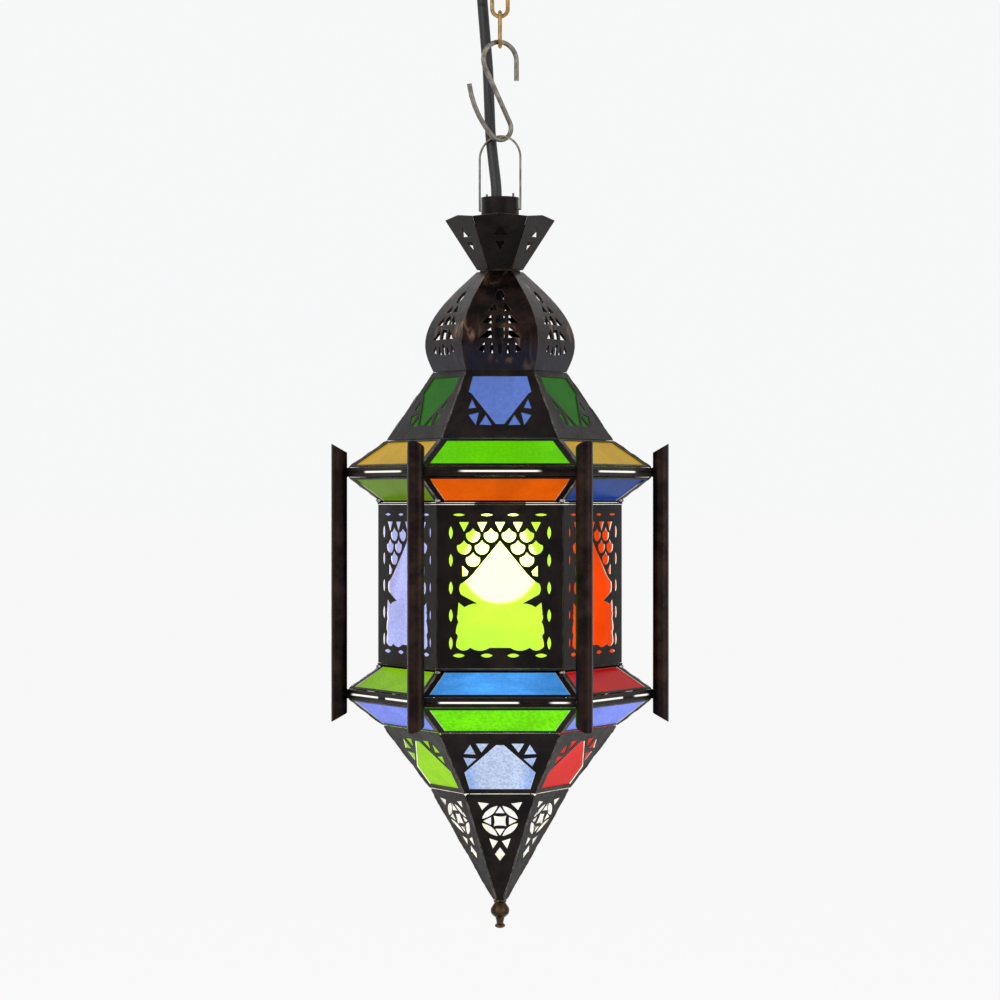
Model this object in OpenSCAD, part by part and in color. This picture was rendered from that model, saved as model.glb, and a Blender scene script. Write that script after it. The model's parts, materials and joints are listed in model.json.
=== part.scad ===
// Hanging hexagonal fanous lantern of pierced tin and coloured glass.
// The origin is at the ceiling, on the hanging axis, and the lantern hangs below it.

/* [Tiers] */
// Corner radius of the main prism
prism_r = 90.3; // [85:0.1:96]
// Height of the main prism
prism_h = 117; // [105:0.5:130]
// Corner radius of the two belts
belt_r = 114.5; // [110:0.1:120]
// Height of a belt
belt_h = 6.8; // [6:0.1:11]
// Depth of a belt's channel
belt_depth = 4.4; // [3.5:0.1:6]
// Corner radius of the roof's foot
roof_r = 84; // [80:0.1:90]
// Height of the roof
roof_h = 50.2; // [44:0.1:56]
// Height of the glazed tier above the upper belt
eave_h = 19.5; // [17:0.1:22]
// Height of the glazed tier below the upper belt
skirt_h = 18.5; // [16:0.1:22]
// Height of the glazed tier above the lower belt
flare_h = 17.7; // [15:0.1:21]
// Height of the glazed tier below the lower belt
low_skirt_h = 19.3; // [16:0.1:22]
// Inset of the waists above and below the prism from its corners
waist_inset = 3.1; // [2:0.1:5]
// Height of the pendant tier
pendant_h = 46.2; // [40:0.1:52]
// Corner radius of the pendant tier's foot
pendant_foot_r = 52; // [46:0.1:58]
// Height of the pierced cone
cone_h = 82.3; // [70:0.1:95]
// Corner radius of the cone's tip
cone_tip_r = 5.2; // [4.8:0.1:6]

/* [Dome and crown] */
// Height of the onion dome
dome_h = 74; // [66:0.5:84]
// Greatest corner radius of the dome
dome_r = 55.5; // [52:0.1:60]
// Corner radius of the dome's foot
dome_foot_r = 49.3; // [45:0.1:51]
// Height of the crown's petals at their corners
crown_h = 37; // [32:0.5:42]
// Corner radius of the crown's rim
crown_r = 41; // [36:0.1:46]
// Rise of a petal's peak over its corners
petal_rise = 2.4; // [2:0.1:6]
// Outer diameter of the collar
collar_d = 28; // [26:0.1:30]
// Height of the collar tube
collar_h = 54.8; // [50:0.1:60]

/* [Sheet and glass] */
// Thickness of the tin sheet
sheet = 0.6; // [0.4:0.05:0.8]
// Thickness of a glass pane
glass = 1.2; // [1:0.1:2]
// Width of the strips at the sides of a glazed tier's pane
strip_w = 5; // [3:0.1:7]
// Least width of the strips above and below it
edge_strip_w = 1.6; // [1.2:0.1:3]
// Thickness of the rims above and below the prism
rim_t = 1; // [0.8:0.1:1.5]
// Width of the rims above and below the prism
rim_w = 5.5; // [5:0.1:7]
// Diameter of the rods inside the prism's corners
post_d = 3; // [2.4:0.1:3.4]

/* [Wings and finial] */
// Outer diameter of a rolled wing tube
wing_d = 12.2; // [11:0.1:14]
// Width of the slit along a wing tube
wing_slit = 5; // [4:0.1:6]
// Reach of a wing tube above the upper belt
wing_over = 17.9; // [12:0.1:22]
// Reach of a wing tube below the lower belt
wing_under = 17.5; // [12:0.1:22]
// Height of the finial
finial_h = 20.8; // [18:0.1:26]
// Diameter of the finial's large bead
finial_bead_d = 14; // [12:0.1:16]

/* [Suspension] */
// Drop of the ceiling hook's bowl below the ceiling
hook_drop = 130; // [128:1:150]
// Wire of the ceiling hook
hook_wire = 4; // [3.5:0.1:5]
// Centre-line radius of the ceiling hook's ring
hook_ring_r = 11; // [10:0.1:14]
// Wire of the chain
link_wire = 3; // [2.6:0.1:3.2]
// Outer length of a chain link
link_l = 28.4; // [26:0.1:32]
// Outer width of a chain link
link_w = 14.5; // [14:0.1:17]
// Wire of the S-hook
s_wire = 3.6; // [3:0.1:3.8]
// Height of the S-hook between wire centres
s_h = 72.5; // [68:0.5:80]
// Centre-line radius of the S-hook's upper bowl
s_top_r = 13.5; // [12.5:0.1:14.5]
// Centre-line radius of the S-hook's lower bowl
s_low_r = 9; // [8.5:0.1:10]
// Length of the S-hook's straight upper tip
s_tip = 14.5; // [8:0.5:18]
// Centre-line radius of the S-hook's flared lower tip
s_flare_r = 66; // [55:1:80]
// Wire of the bail
bail_wire = 1.6; // [1.4:0.1:2]
// Height of the bail from its pivots to the centre of its top
bail_h = 54.5; // [50:0.5:60]
// Centre-line radius of the bail's top
bail_r = 16.6; // [16.2:0.1:18]
// Depth of the bail's pivot holes below the collar's top
pivot_depth = 8.9; // [7:0.1:10]
// Turn of the S-hook about the hanging axis
s_turn = 25; // [20:1:35]
// Turn of the bail about the hanging axis
bail_turn = -25; // [-35:1:-20]

/* [Ceiling fitting and flex] */
// Diameter of the ceiling plate
plate_d = 70; // [64:1:76]
// Thickness of the ceiling plate
plate_t = 2.5; // [2:0.1:4]
// Spacing of the ceiling plate's screw holes
screw_pitch = 50; // [46:1:54]
// Diameter of the ceiling plate's screw holes
screw_hole_d = 4.5; // [4:0.1:5.5]
// Outer diameter of the canopy
canopy_d = 84; // [80:1:96]
// Height of the canopy
canopy_h = 23; // [20:0.5:24]
// Thickness of the canopy's wall
canopy_t = 1.2; // [0.8:0.1:1.6]
// Diameter of the flex
flex_d = 8; // [6:0.1:8]
// Length of the strain relief below the canopy
relief_l = 20; // [20:0.5:20]

/* [Lamp] */
// Diameter of the bulb's glass
bulb_d = 55; // [50:0.5:60]
// Length of the bulb with its cap
bulb_l = 98; // [94:0.5:106]
// Height of the bulb's contact above the lamp bracket
contact_rise = 25.4; // [23:0.1:28]
// Diameter of the bulb's screw cap
cap_d = 26.4; // [26:0.1:27]
// Height of the bulb's screw cap
cap_h = 25.5; // [24:0.1:27]
// Outer diameter of the lamp holder
holder_d = 38; // [37:0.5:42]
// Diameter of the holder's threaded skirt
holder_skirt_d = 33; // [32:0.5:34]
// Height of the holder's top above the bulb's contact
holder_head = 12; // [10:0.5:16]
// Length of the holder's threaded skirt
holder_skirt_h = 7; // [6:0.5:9]
// Height of the ring nut
nut_h = 4; // [3:0.1:5]
// Width of the lamp bracket's arms
bracket_w = 8; // [6:0.5:9]
// Thickness of the lamp bracket
bracket_t = 2; // [1.5:0.1:2.2]

/* [Door] */
// Radius of the door's hinge knuckles
knuckle_r = 1.8; // [1.7:0.05:2]
// Radius of the hinge pins
pin_r = 0.8; // [0.7:0.05:0.9]
// Length of each hinge knuckle
knuckle_l = 6; // [5:0.5:8]
// Height of each hinge above and below the middle of the door
hinge_rise = 38; // [30:1:44]
// Diameter of the door's knob
knob_d = 7; // [5:0.1:9]
// Length of the knob's stem
knob_stem = 4; // [3:0.1:6]

/* [Hidden] */

// Fineness of round surfaces
$fn = 64;
// Number of facets round the body
sides = 6;
// Half of the turn from one facet to the next
half_turn = 180 / sides;
// Gap at a soldered or laid seam
seam = 0.3;
// Gap where one hanging wire rests on another
hang_gap = 0.15;
// Gap between a pane and the tin in front of it
pane_gap = 0.2;
// Overlap of a pane behind its frame
lap = 0.4;
// Radial running gap of a pin in its hole
pin_gap = 0.06;
// Overrun of every cut past the face it cuts
over = 1;
// Reach of the wedges that cut the mitres
wedge_reach = 2 * belt_r;

// Heights of the hanging wires, at their centres
link_reach = link_l - link_wire;
z_hook = -hook_drop;
z_link_upper = z_hook + hook_wire / 2 + link_wire / 2 + hang_gap;
z_link_upper_foot = z_link_upper - link_reach;
z_link_lower = z_link_upper_foot + link_wire + hang_gap;
z_link_lower_foot = z_link_lower - link_reach;
z_s_hook = z_link_lower_foot + link_wire / 2 + s_wire / 2 + hang_gap;
z_s_hook_foot = z_s_hook - s_h;
z_bail = z_s_hook_foot + s_wire / 2 + bail_wire / 2 + hang_gap;
z_pivot = z_bail - bail_h;
z_collar = z_pivot + pivot_depth;

// Heights of the tiers, from the collar down
z_neck = z_collar - collar_h;
z_dome = z_neck - seam;
z_dome_foot = z_dome - dome_h;
z_roof = z_dome_foot - seam;
z_roof_foot = z_roof - roof_h;
z_eave = z_roof_foot - seam;
z_eave_foot = z_eave - eave_h;
z_belt = z_eave_foot - seam;
z_belt_foot = z_belt - belt_h;
z_skirt = z_belt_foot - seam;
z_skirt_foot = z_skirt - skirt_h;
z_rim = z_skirt_foot - seam;
z_prism = z_rim - rim_t - seam;
z_prism_foot = z_prism - prism_h;
z_low_rim = z_prism_foot - seam;
z_flare = z_low_rim - rim_t - seam;
z_flare_foot = z_flare - flare_h;
z_low_belt = z_flare_foot - seam;
z_low_belt_foot = z_low_belt - belt_h;
z_low_skirt = z_low_belt_foot - seam;
z_low_skirt_foot = z_low_skirt - low_skirt_h;
z_pendant = z_low_skirt_foot - seam;
z_pendant_foot = z_pendant - pendant_h;
z_cone = z_pendant_foot - seam;
z_cone_foot = z_cone - cone_h;

function apothem(r) = r * cos(half_turn);
function corner(a) = a / cos(half_turn);

// Collar and neck
collar_wall = 0.8;
flange_t = 1;
neck_r = corner(collar_d / 2 + sheet + seam);
z_crown = z_neck + flange_t + seam;
collar_floor_depth = 17;
collar_floor_t = 1.2;
grip_x = -2.5;
grip_wall = 1.2;
grip_flange = 1.6;
grip_flange_w = 1.4;
grip_under = 4;
grip_depth = 2.1;
bail_pin_r = 10.8;
bail_up = 12;
z_grip = z_collar - grip_depth;
z_collar_floor = z_collar - collar_floor_depth;

// Belt seats, and the tiers as foot radius, foot height, top radius, top height
belt_ledge = 2.3;
belt_seat_r = belt_r - belt_ledge;
waist_r = prism_r - waist_inset;
crown_tier = [neck_r, z_crown, crown_r, z_crown + crown_h];
roof_tier = [roof_r, z_roof_foot, dome_foot_r, z_roof];
eave_tier = [belt_seat_r, z_eave_foot, roof_r, z_eave];
skirt_tier = [waist_r, z_skirt_foot, belt_seat_r, z_skirt];
prism_tier = [prism_r, z_prism_foot, prism_r, z_prism];
flare_tier = [belt_seat_r, z_flare_foot, waist_r, z_flare];
low_skirt_tier = [waist_r, z_low_skirt_foot, belt_seat_r, z_low_skirt];
pendant_tier = [pendant_foot_r, z_pendant_foot, waist_r, z_pendant];
cone_tier = [cone_tip_r, z_cone_foot, pendant_foot_r, z_cone];

function lean(t) = atan2(apothem(t[2]) - apothem(t[0]), t[3] - t[1]);
function slant(t) = norm([apothem(t[2]) - apothem(t[0]), t[3] - t[1]]);
function half_width(t, y) = (t[0] + (t[2] - t[0]) * y / slant(t)) / 2;

// Insets of sheets and panes, so that neighbours meet at their corners without overlap
edge_gap = 0.1;
sheet_side = sheet * tan(half_turn) + edge_gap / 2;
pane_depth = sheet + pane_gap + glass;
pane_side = pane_depth * tan(half_turn) + seam;
snip = 2.6;
snip_turn = 45;
function foot_trim(t, d) = edge_gap + d * tan(max(0, -lean(t)));
function top_trim(t, d) = edge_gap + d * tan(max(0, lean(t)));

// Corner rods, lamp bracket and prism panes
inner_corner_r = corner(apothem(prism_r) - sheet);
post_r = corner(apothem(prism_r) - sheet - post_d / 2 - hang_gap);
prism_pane_side = prism_r / 2 - post_r * sin(half_turn) + post_d / 2 + seam;
z_bracket = z_prism - seam;
z_bracket_foot = z_bracket - bracket_t;
bracket_reach = inner_corner_r - (bracket_w / 2 + seam) / tan(90 - half_turn);
bracket_boss_d = 46;
prism_pane_top = z_prism - z_bracket_foot + seam;
prism_pane_foot = 2 * seam;

// Wing tubes, seated on the corners of the belts
wing_wall = 0.6;
wing_slant = 30;
wing_slit_depth = sqrt(pow(wing_d / 2, 2) - pow(wing_slit / 2, 2));
wing_r = belt_r + wing_slit_depth + (hang_gap - wing_slit / 2 * sin(half_turn)) / cos(half_turn);
z_wing = z_belt + wing_over;
z_wing_foot = z_low_belt_foot - wing_under;

// Belt channel
belt_wall = 0.8;
belt_groove = 1.2;
belt_bead_share = 0.36;
belt_slope_share = 0.08;

// Lamp
z_contact = z_bracket + contact_rise;
z_bulb = z_contact - bulb_l + bulb_d / 2;
z_cap = z_contact - cap_h;
z_skirt_end = z_bracket - holder_skirt_h;
z_holder = z_contact + holder_head;
holder_bore_d = cap_d + 1.6;
holder_entry_d = 14;
holder_entry_h = 6;
nut_d = 41;
thread_gap = 0.15;

// Ceiling fitting
boss_d = 10;
boss_h = 10;
shank_d = 6;
shank_gap = 0.1;
shoulder_d = 14;
shoulder_h = 3;
hook_neck_d = 3.6;
hook_start = 145;
hook_sweep = 310;
canopy_grip_x = -18;
canopy_grip_y = 13;
relief_tip_wall = 0.8;
relief_foot_wall = 2.4;

// Door
door_side = 0.9;
hinge_edge = 1.2;
knuckle_sink = 0.1;
hinge_out = knuckle_r - knuckle_sink;
fixed_knuckle_r = hinge_out - seam;
leaf_edge = 0.5;
leaf_l = 8;
leaf_t = 0.8;
arm_l = 2.9;
arm_turn = -36;
pin_over = 1;
knob_edge = 4.4;
knob_stem_r = 1.2;

// Route of the flex, from the canopy's strain relief to the collar's
flex_route = [
    [-18, 13, -43], [-18, 13, -62], [-17, 13, -86], [-15, 12.5, -112],
    [-13, 12, -140], [-11, 11.5, -165], [-9, 11, -190], [-8, 10.5, -214],
    [-7, 9.5, -238], [-5, 5.5, -258], [-3, 1, -276], [-2.5, 0, -288]
];
flex_sides = 12;

// Lace, as shares of a facet's width across and of its slant height up
scale_pitch_share = 0.142;
scale_row_share = 0.0745;
scale_first_share = 0.8137;
scale_r_share = 0.0554;
scale_web_share = 0.0266;
scale_peak = 1.2;
panel_lens_share = 0.093;
panel_lens_low_share = 0.08;
panel_lens_top_share = 0.938;
panel_lens_x_shares = [-0.325, -0.105, 0.105, 0.325];
top_lens_slim = 0.21;
low_lens_slim = 0.33;
side_lens_x_share = 0.388;
side_lens_first_share = 0.155;
side_lens_pitch_share = 0.1685;
side_lens_share = 0.077;
side_lens_slim = 0.29;
arch_shares = [
    [0.208, 0.582, -0.006], [0.311, 0.517, 0.013], [0.306, 0.451, 0], [0.177, 0.397, 0.022],
    [0.338, 0.325, 0.004], [0.328, 0.285, 0.006], [0.348, 0.215, -0.008], [0.336, 0.186, 0.004],
    [0.346, 0.133, 0.02], [0.235, 0.127, 0.018], [0.08, 0.127, 0.01]
];
cusp_shares = [[0.327, 0.403], [0.274, 0.371], [0.335, 0.333]];
top_tooth_shares = [[-0.038, 0.893], [0.038, 0.893], [0, 0.835]];
half_scale_shares = [[0.298, 0.628], [0.298, 0.562], [0.262, 0.568], [0.25, 0.592]];
roof_window_shares = [[0.467, 0.915], [0.54, 0.68], [0.488, 0.655], [0.073, 0.209]];
roof_triangle_shares = [
    [[0.48, 0.577], [0.408, 0.446], [0.54, 0.437]],
    [[0.54, 0.345], [0.361, 0.385], [0.415, 0.194]],
    [[0.246, 0.345], [0.138, 0.194], [0.355, 0.2]]
];
pendant_window_shares = [[0.5, 0.07], [0.585, 0.355], [0.065, 0.806]];
pendant_triangle_shares = [
    [[0.489, 0.811], [0.4, 0.645], [0.6, 0.655]],
    [[0.4, 0.83], [0.185, 0.83], [0.305, 0.677]],
    [[0.6, 0.6], [0.385, 0.58], [0.53, 0.45]]
];
cone_triangle_shares = [
    [[0.62, 0.925], [0.3, 0.912], [0.5, 0.85]],
    [[0.3, 0.586], [0.052, 0.56], [0.2, 0.488]]
];
rosette_share = 0.748;
rosette_r_share = 0.56;
petal_out = 0.72;
petal_l = 1.1;
petal_w = 0.34;
spike_out = 0.86;
spike_in = 0.45;
spike_w = 0.24;
heart_w = 0.64;
heart_bite = 1.27;
diamond_shares = [[0, 0.502], [0.145, 0.436], [0, 0.372], [-0.145, 0.436]];
crown_lace_shares = [
    [[-0.3, 0.63], [0.3, 0.63], [0, 0.82]],
    [[-0.2, 0.53], [0.2, 0.53], [0, 0.34]]
];
dome_leaf_shares = [0.735, 0.13, 0.09];
dome_lace_shares = [
    [[0.025, 0.58], [0.15, 0.58], [0.07, 0.66]],
    [[0.1, 0.455], [0.25, 0.455], [0.12, 0.55]],
    [[0.1, 0.31], [0.28, 0.31], [0.12, 0.41]],
    [[0.075, 0.16], [0.14, 0.16], [0.105, 0.26]],
    [[0.21, 0.17], [0.29, 0.19], [0.2, 0.265]]
];
dome_window_shares = [
    [[-0.06, 0.455], [0.06, 0.455], [0.06, 0.52], [0, 0.555], [-0.06, 0.52]],
    [[-0.06, 0.31], [0.06, 0.31], [0.06, 0.41], [-0.06, 0.41]],
    [[-0.025, 0.155], [0.025, 0.155], [0.03, 0.26], [-0.03, 0.26]]
];

// Round wire helpers, in the XZ plane
module wire_arc(r, d, start, sweep) {
    rotate([90, 0, 0]) rotate([0, 0, start]) rotate_extrude(angle = sweep) translate([r, 0]) circle(d = d);
}

// Straight wire with flat ends
module wire_rod(d, start, end) {
    reach = end - start;
    translate(start) rotate([0, atan2(norm([reach[0], reach[1]]), reach[2]), atan2(reach[1], reach[0])])
        cylinder(d = d, h = norm(reach));
}

// Round end, or elbow, of a wire
module wire_ball(d, place) {
    translate(place) sphere(d = d);
}

// Places children on facet k of a tier, with x across, y up the slope and z outward
module on_tier(t, k) {
    rotate([0, 0, k * 360 / sides]) translate([0, -apothem(t[0]), t[1]])
        rotate([90 + lean(t), 0, 0]) children();
}

// Trapezoid that fills a facet, less the given insets
module facet_outline(t, side_in, foot_in, top_in) {
    y_top = slant(t) - top_in;
    x_foot = half_width(t, foot_in) - side_in;
    x_top = half_width(t, y_top) - side_in;
    polygon([[-x_foot, foot_in], [x_foot, foot_in], [x_top, y_top], [-x_top, y_top]]);
}

// Tin sheet of one facet, with the children cut out of it
module tin(t, k, side_in = sheet_side) {
    on_tier(t, k) translate([0, 0, -sheet]) linear_extrude(sheet) difference() {
        facet_outline(t, side_in, foot_trim(t, sheet), top_trim(t, sheet));
        children();
    }
}

// Snips at the top corners of a facet's sheet, where light leaks out between two tiers
module top_snips(t) {
    y_top = slant(t) - top_trim(t, sheet);
    x_top = half_width(t, y_top) - sheet_side;
    for (side = [-1, 1]) translate([side * x_top, y_top]) rotate(snip_turn) square(snip, center = true);
}

// Glass pane behind one facet
module pane(t, k) {
    on_tier(t, k) translate([0, 0, -pane_depth]) linear_extrude(glass)
        facet_outline(t, pane_side, foot_trim(t, pane_depth), top_trim(t, pane_depth));
}

module prism_pane(k) {
    on_tier(prism_tier, k) translate([0, 0, -pane_depth]) linear_extrude(glass)
        facet_outline(prism_tier, prism_pane_side, prism_pane_foot, prism_pane_top);
}

// Plain window of a glazed tier
module window(t) {
    foot_in = max(edge_strip_w, foot_trim(t, pane_depth) + lap);
    top_in = max(edge_strip_w, top_trim(t, pane_depth) + lap);
    facet_outline(t, strip_w, foot_in, top_in);
}

// Bar with the given section, mitred to one facet; the section's x is its distance out
module mitred(k, inset) {
    rotate([0, 0, k * 360 / sides]) intersection() {
        translate([-wedge_reach / 2, 0, 0]) rotate([90, 0, 90]) linear_extrude(wedge_reach)
            mirror([1, 0]) children();
        wedge_z = z_collar - z_cone_foot;
        translate([0, -inset / sin(half_turn), z_cone_foot]) linear_extrude(wedge_z)
            polygon([
                [0, 0],
                [-wedge_reach * tan(half_turn), -wedge_reach],
                [wedge_reach * tan(half_turn), -wedge_reach]
            ]);
    }
}

// Both halves of a symmetric drawing
module both() {
    children();
    mirror([1, 0]) children();
}

module shares(points, w, h) {
    polygon([for (p = points) [p[0] * w, p[1] * h]]);
}

// Slot pointed at both ends, between two equal arcs
module lens(l, w) {
    arc_r = (l * l + w * w) / (4 * w);
    intersection() {
        translate([0, arc_r - w / 2]) circle(r = arc_r);
        translate([0, w / 2 - arc_r]) circle(r = arc_r);
    }
}

// Symmetric polygon from its right half, which runs from the top down or the foot up
module mirrored_shares(half, w, h) {
    left = [for (i = [len(half) - 1:-1:0]) [-half[i][0], half[i][1]]];
    shares(concat(half, left), w, h);
}

// Points from a to b along a shallow bow that stands out by s on its left
bow_steps = 5;
function bow(a, b, s) = let (d = b - a, n = [-d[1], d[0]] / norm(d)) s == 0 ? [a]
    : [for (i = [0:bow_steps - 1]) let (u = i / bow_steps) a + d * u + n * s * 4 * u * (1 - u)];

// Half outline of the arch, down its right side to the middle of its foot
arch_apex = [0, 0.778];
arch_points = concat([arch_apex], [for (p = arch_shares) [p[0], p[1]]]);
arch_bows = concat([0], [for (p = arch_shares) p[2]]);
arch_half = concat(
    [for (i = [0:len(arch_points) - 2]) each bow(arch_points[i], arch_points[i + 1], arch_bows[i])],
    [arch_points[len(arch_points) - 1]]
);

// One fish scale: a disc drawn up to a peak, less the two discs of the row above
module fish_scale(w, h) {
    r = scale_r_share * w;
    difference() {
        union() {
            circle(r = r);
            shares([[-1, 0], [0, scale_peak], [1, 0]], r, r);
        }
        for (side = [-1, 1]) translate([side * scale_pitch_share * w / 2, scale_row_share * h])
            circle(r = r + scale_web_share * w);
    }
}

// Scales of one row, at the given multiples of the pitch
module scale_row(row, places, w, h) {
    y = (scale_first_share - row * scale_row_share) * h;
    for (x = places) translate([x * scale_pitch_share * w, y]) fish_scale(w, h);
}

// Everything cut out of a main panel
module panel_lace() {
    w = prism_r;
    h = prism_h;
    slot = panel_lens_share * w;
    for (x = panel_lens_x_shares) {
        translate([x * w, panel_lens_top_share * h]) lens(slot, slot * top_lens_slim);
        translate([x * w, panel_lens_low_share * h]) lens(slot, slot * low_lens_slim);
    }
    both() for (i = [0:4])
        translate([side_lens_x_share * w, (side_lens_first_share + i * side_lens_pitch_share) * h])
            rotate(90) lens(side_lens_share * h, side_lens_share * h * side_lens_slim);
    for (i = [-2:2]) translate([i * scale_pitch_share * w, 0]) shares(top_tooth_shares, w, h);
    scale_row(0, [-1.5, -0.5, 0.5, 1.5], w, h);
    scale_row(1, [-2, -1, 1, 2], w, h);
    scale_row(2, [-1.5, 1.5], w, h);
    both() shares(half_scale_shares, w, h);
    mirrored_shares(arch_half, w, h);
    both() shares(cusp_shares, w, h);
}

module roof_lace() {
    w = roof_tier[0] / 2;
    h = slant(roof_tier);
    mirrored_shares(roof_window_shares, w, h);
    both() for (t = roof_triangle_shares) shares(t, w, h);
}

module pendant_lace() {
    w = pendant_tier[2] / 2;
    h = slant(pendant_tier);
    mirrored_shares(pendant_window_shares, w, h);
    both() for (t = pendant_triangle_shares) shares(t, w, h);
}

module cone_lace() {
    w = cone_tier[2] / 2;
    h = slant(cone_tier);
    r = rosette_r_share * w;
    both() for (t = cone_triangle_shares) shares(t, w, h);
    shares(diamond_shares, w, h);
    translate([0, rosette_share * h]) {
        for (a = [45:90:315]) rotate(a) translate([r * petal_out, 0]) rotate(90)
            lens(r * petal_l, r * petal_w);
        for (a = [0:90:270]) rotate(a)
            shares([[spike_out, 0], [spike_in, spike_w], [spike_in, -spike_w]], r, r);
        difference() {
            square(r * heart_w, center = true);
            for (a = [0:90:270]) rotate(a) translate([r * heart_bite, 0]) circle(r = r);
        }
    }
}

module crown_lace() {
    w = crown_tier[2] / 2;
    h = slant(crown_tier);
    for (t = crown_lace_shares) shares(t, w, h);
}

// Lace of one dome gore, in the plane that faces outward
module dome_lace() {
    leaf = dome_leaf_shares * dome_h;
    translate([0, leaf[0]]) rotate(90) lens(leaf[1], leaf[2]);
    both() for (t = dome_lace_shares) shares(t, dome_r, dome_h);
    for (t = dome_window_shares) shares(t, dome_r, dome_h);
}

// Ceiling fitting
module ceiling_plate() {
    color("silver") difference() {
        union() {
            translate([0, 0, -plate_t]) cylinder(d = plate_d, h = plate_t);
            translate([0, 0, -plate_t - boss_h]) cylinder(d = boss_d, h = boss_h);
        }
        translate([0, 0, -plate_t - boss_h - over])
            cylinder(d = shank_d + 2 * shank_gap, h = plate_t + boss_h + 2 * over);
        for (side = [-1, 1]) translate([side * screw_pitch / 2, 0, -plate_t - over])
            cylinder(d = screw_hole_d, h = plate_t + 2 * over);
    }
}

canopy_round = 10;
canopy_steps = 8;
function canopy_arc(r) = [for (i = [0:canopy_steps]) let (a = -90 * i / canopy_steps)
    [canopy_d / 2 - canopy_round + r * cos(a), canopy_round - canopy_h + r * sin(a)]];

module canopy() {
    inner = canopy_d / 2 - canopy_t;
    inner_arc = canopy_arc(canopy_round - canopy_t);
    profile = concat(
        [[canopy_d / 2, 0]], canopy_arc(canopy_round), [[0, -canopy_h], [0, canopy_t - canopy_h]],
        [for (i = [canopy_steps:-1:0]) inner_arc[i]], [[inner, 0]]
    );
    color("#2a2624") difference() {
        rotate_extrude() polygon(profile);
        translate([0, 0, -canopy_h - over]) cylinder(d = shank_d + 2 * shank_gap, h = canopy_t + 2 * over);
        translate([canopy_grip_x, canopy_grip_y, -canopy_h - over])
            cylinder(r = flex_d / 2 + relief_foot_wall - grip_wall + shank_gap, h = canopy_t + 2 * over);
    }
}

module ceiling_hook() {
    z_ring = z_hook + hook_ring_r;
    color("#2a2624") {
        translate([0, 0, -canopy_h - shoulder_h]) cylinder(d = shoulder_d, h = shoulder_h);
        translate([0, 0, -canopy_h]) cylinder(d = shank_d, h = canopy_h - plate_t / 2);
        translate([0, 0, z_ring + hook_ring_r])
            cylinder(d = hook_neck_d, h = -canopy_h - shoulder_h - z_ring - hook_ring_r);
        translate([0, 0, z_ring]) rotate([0, 0, 90]) wire_arc(hook_ring_r, hook_wire, hook_start, hook_sweep);
    }
}

// Tapered strain relief with a neck in the canopy's floor and a flange above it
module canopy_cord_grip() {
    foot_r = flex_d / 2 + relief_foot_wall;
    color("#1b1b1b") translate([canopy_grip_x, canopy_grip_y, -canopy_h]) rotate_extrude() polygon([
        [flex_d / 2 - relief_tip_wall, -relief_l],
        [flex_d / 2 + relief_tip_wall, -relief_l],
        [foot_r, -grip_flange - hang_gap],
        [foot_r, -hang_gap],
        [foot_r - grip_wall, -hang_gap],
        [foot_r - grip_wall, canopy_t + hang_gap],
        [foot_r, canopy_t + hang_gap],
        [foot_r, canopy_t + hang_gap + grip_flange],
        [flex_d / 2 - relief_tip_wall, canopy_t + hang_gap + grip_flange]
    ]);
}

// Chain link in the XZ plane, with the centre of its top wire at the origin
module link() {
    bend = (link_w - link_wire) / 2;
    straight = link_reach - 2 * bend;
    translate([0, 0, -bend]) wire_arc(bend, link_wire, 0, 180);
    translate([0, 0, -bend - straight]) wire_arc(bend, link_wire, 180, 180);
    for (side = [-1, 1]) translate([side * bend, 0, -bend - straight]) cylinder(d = link_wire, h = straight);
}

module link_upper() {
    color("#b08a4a") translate([0, 0, z_link_upper]) link();
}

module link_lower() {
    color("#b08a4a") translate([0, 0, z_link_lower]) rotate([0, 0, 90]) link();
}

// Tube of the given diameter along a route; its ends are square to the route, or to the given way
module swept_tube(route, d, facets, end_way = undef) {
    last = len(route) - 1;
    rings = [for (i = [0:last])
        let (
            way = route[min(i + 1, last)] - route[max(i - 1, 0)],
            t = (i == 0 || i == last) && !is_undef(end_way) ? end_way : way,
            across = cross([0, 1, 0], t) / norm(cross([0, 1, 0], t)),
            along = cross(t, across) / norm(cross(t, across))
        )
        for (j = [0:facets - 1]) let (a = 360 * j / facets)
            route[i] + d / 2 * (cos(a) * across + sin(a) * along)];
    walls = [for (i = [0:last - 1], j = [0:facets - 1])
        let (
            a = i * facets + j,
            b = i * facets + (j + 1) % facets
        )
        each [[a, b, b + facets], [a, b + facets, a + facets]]];
    top = [for (j = [facets - 1:-1:0]) j];
    foot = [for (j = [0:facets - 1]) last * facets + j];
    polyhedron(rings, concat(walls, [top, foot]));
}

// S-hook: an upper bowl, a diagonal along the bowls' inner tangent, and a flared lower bowl
s_centres = s_h - s_top_r - s_low_r;
s_tangent = asin((s_top_r + s_low_r) / s_centres);
s_low_turn = -135;
s_flare_turn = 37;
s_sides = 14;
s_flare_steps = 5;
function arc_points(centre, r, from, to, steps) = [for (i = [0:steps])
    let (a = from + (to - from) * i / steps) centre + r * [cos(a), 0, sin(a)]];

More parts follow.
